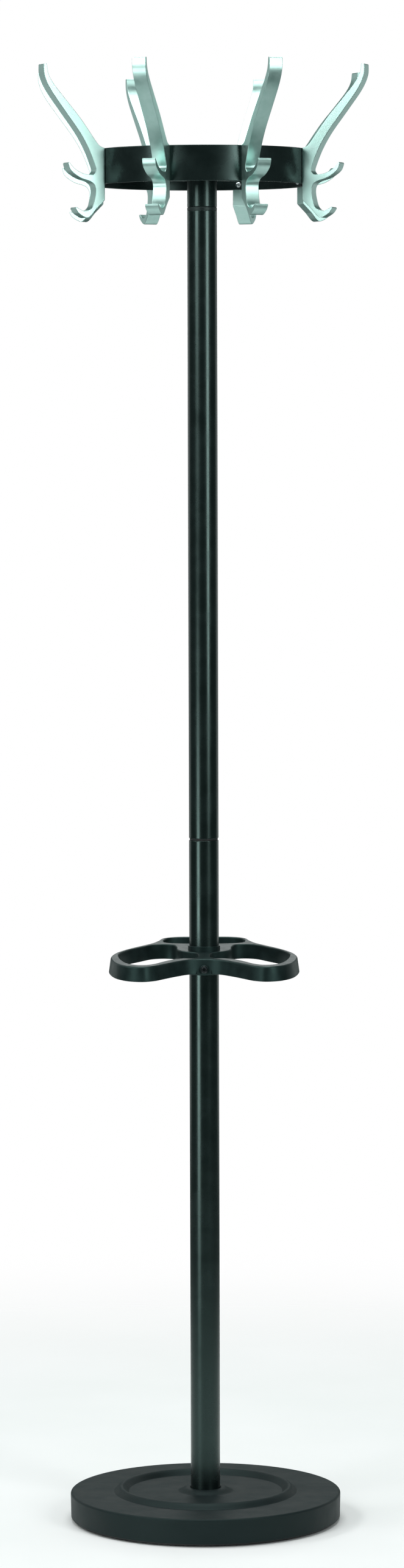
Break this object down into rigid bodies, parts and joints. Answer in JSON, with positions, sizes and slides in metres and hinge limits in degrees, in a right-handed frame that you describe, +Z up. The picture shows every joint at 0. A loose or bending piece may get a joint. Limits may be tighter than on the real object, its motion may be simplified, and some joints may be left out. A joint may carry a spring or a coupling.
{
  "type": "standing coat rack",
  "caption": "Free-standing coat rack: weighted round foot with drip tray, steel pole, clamped umbrella holder and a swivelling crown ring of double coat hooks.",
  "frame": {"origin": "on the floor under the pole's axis, at the centre of the whole box's underside", "axes": "+Z up along the pole; -Y is the front, where the umbrella holder's clamp screw is; +X to the right seen from the front"},
  "size_m": [0.4206, 0.4206, 1.87],
  "materials": {
    "black_coat": "satin black powder coat",
    "black_plastic": "satin moulded black",
    "charcoal_plastic": "fine-grained moulded charcoal",
    "satin_aluminium": "satin anodised",
    "zinc_steel": "bright zinc plated",
    "cast_iron": "raw casting",
    "rubber": "matte black",
    "nylon": "turned black nylon",
    "brass": "turned"
  },
  "bodies": {
    "pole": {"base_cover": "charcoal_plastic", "ballast_disc": "cast_iron", "base_plate": "black_plastic", "foot_1": "rubber", "foot_2": "rubber", "foot_3": "rubber", "foot_4": "rubber", "foot_5": "rubber", "foot_6": "rubber", "base_bolt": "zinc_steel", "base_washer": "zinc_steel", "pole_plug": "zinc_steel", "lower_tube": "black_coat", "joint_spigot": "zinc_steel", "joint_ring": "black_plastic", "upper_tube": "black_coat", "bearing_bush": "nylon"},
    "head": {"thrust_washer": "nylon", "swivel_spindle": "zinc_steel", "spindle_washer": "zinc_steel", "spindle_nut": "zinc_steel", "neck_hub": "zinc_steel", "neck_tube": "black_coat", "neck_cap": "black_plastic", "crown_arm_1": "black_coat", "crown_arm_2": "black_coat", "crown_arm_3": "black_coat", "crown_arm_4": "black_coat", "ring_band": "black_coat", "hook_1": "satin_aluminium", "hook_2": "satin_aluminium", "hook_3": "satin_aluminium", "hook_4": "satin_aluminium", "hook_5": "satin_aluminium", "hook_6": "satin_aluminium", "hook_7": "satin_aluminium", "hook_8": "satin_aluminium", "hook_screw_1_lower": "zinc_steel", "hook_screw_1_upper": "zinc_steel", "hook_screw_2_lower": "zinc_steel", "hook_screw_2_upper": "zinc_steel", "hook_screw_3_lower": "zinc_steel", "hook_screw_3_upper": "zinc_steel", "hook_screw_4_lower": "zinc_steel", "hook_screw_4_upper": "zinc_steel", "hook_screw_5_lower": "zinc_steel", "hook_screw_5_upper": "zinc_steel", "hook_screw_6_lower": "zinc_steel", "hook_screw_6_upper": "zinc_steel", "hook_screw_7_lower": "zinc_steel", "hook_screw_7_upper": "zinc_steel", "hook_screw_8_lower": "zinc_steel", "hook_screw_8_upper": "zinc_steel"},
    "holder": {"umbrella_holder": "black_plastic", "clamp_insert": "brass", "clamp_screw": "black_coat"}
  },
  "joints": [
    {"name": "head_swivel", "type": "hinge", "parent": "pole", "child": "head", "pos_m": [0, 0, 1.6895], "axis": [0, 0, 1], "continuous": true},
    {"name": "holder_slide", "type": "slide", "parent": "pole", "child": "holder", "axis": [0, 0, 1], "range_m": [-0.35, 0.12]}
  ]
}
